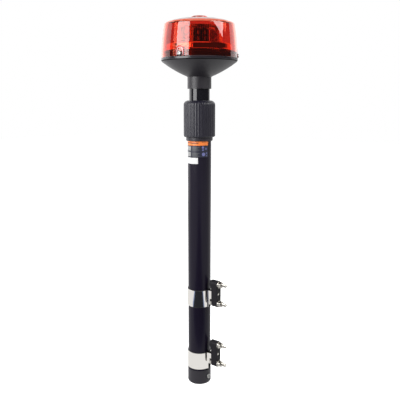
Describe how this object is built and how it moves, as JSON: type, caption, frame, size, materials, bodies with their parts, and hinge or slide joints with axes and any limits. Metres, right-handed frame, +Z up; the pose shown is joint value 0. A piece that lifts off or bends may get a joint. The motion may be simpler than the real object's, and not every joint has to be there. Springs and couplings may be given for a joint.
{
  "type": "telescopic warning light",
  "caption": "Red warning beacon on a two-stage telescopic mast with a twist-lock grip and two band clamps with studs for fixing it to a machine.",
  "frame": {"origin": "centre of the end cap's flat underside, on the mast axis", "axes": "+Z up along the mast, +X from the mast towards the clamps' brackets and studs"},
  "size_m": [0.1262, 0.1279, 0.6363],
  "materials": {
    "black_moulding": "matte, lightly textured moulding",
    "gloss_moulding": "smooth moulding",
    "grip_black": "satin moulding",
    "black_tube": "satin black coating",
    "gloss_tube": "gloss black coating",
    "rubber": "matte",
    "polished_steel": "polished stainless strip",
    "zinc_steel": "bright zinc plate",
    "chrome_screw": "bright",
    "aluminium": "satin",
    "brass": "bright",
    "cell_wrap": "plain shrink wrap",
    "board_green": "solder mask",
    "chip_white": "phosphor face",
    "mirror_finish": "metallised",
    "clear_optic": "clear fluted moulding",
    "red_lens": "clear red moulding"
  },
  "bodies": {
    "mast": {"end_cap": "black_moulding", "end_cap_screw": "chrome_screw", "outer_tube": "black_tube", "threaded_bush": "black_moulding", "collet": "black_moulding", "lower_clamp_liner": "rubber", "lower_clamp_band": "polished_steel", "lower_bracket": "black_moulding", "lower_bracket_bolts": "zinc_steel", "lower_bracket_washers": "zinc_steel", "lower_bracket_nuts": "zinc_steel", "lower_lock_screw": "zinc_steel", "upper_clamp_liner": "rubber", "upper_clamp_band": "polished_steel", "upper_bracket": "black_moulding", "upper_bracket_bolts": "zinc_steel", "upper_bracket_washers": "zinc_steel", "upper_bracket_nuts": "zinc_steel", "upper_lock_screw": "zinc_steel"},
    "grip": {"grip_collar": "grip_black", "wiper_seal": "rubber"},
    "slider": {"guide_bush": "black_moulding"},
    "head": {"inner_tube": "gloss_tube", "stop_ring": "zinc_steel", "foot_plug": "black_moulding", "battery_tray": "black_moulding", "battery_cells": "cell_wrap", "contact_spring": "brass", "contact_disc": "brass", "beacon_bowl": "black_moulding", "lens_carrier": "gloss_moulding", "carrier_screws": "zinc_steel", "circuit_board": "board_green", "light_post": "aluminium", "light_chips": "chip_white", "reflector": "mirror_finish", "drum_optic": "clear_optic", "lens_seal": "rubber", "lens": "red_lens", "lens_screws": "chrome_screw"}
  },
  "joints": [
    {"name": "grip_turn", "type": "hinge", "parent": "mast", "child": "grip", "pos_m": [0, 0, 0.47], "axis": [0, 0, 1], "range_deg": [0, 120]},
    {"name": "mast_slide", "type": "slide", "parent": "mast", "child": "slider", "axis": [0, 0, 1], "range_m": [-0.0185, 0.303]},
    {"name": "mast_swivel", "type": "hinge", "parent": "slider", "child": "head", "pos_m": [0, 0, 0.15], "axis": [0, 0, 1], "continuous": true}
  ]
}
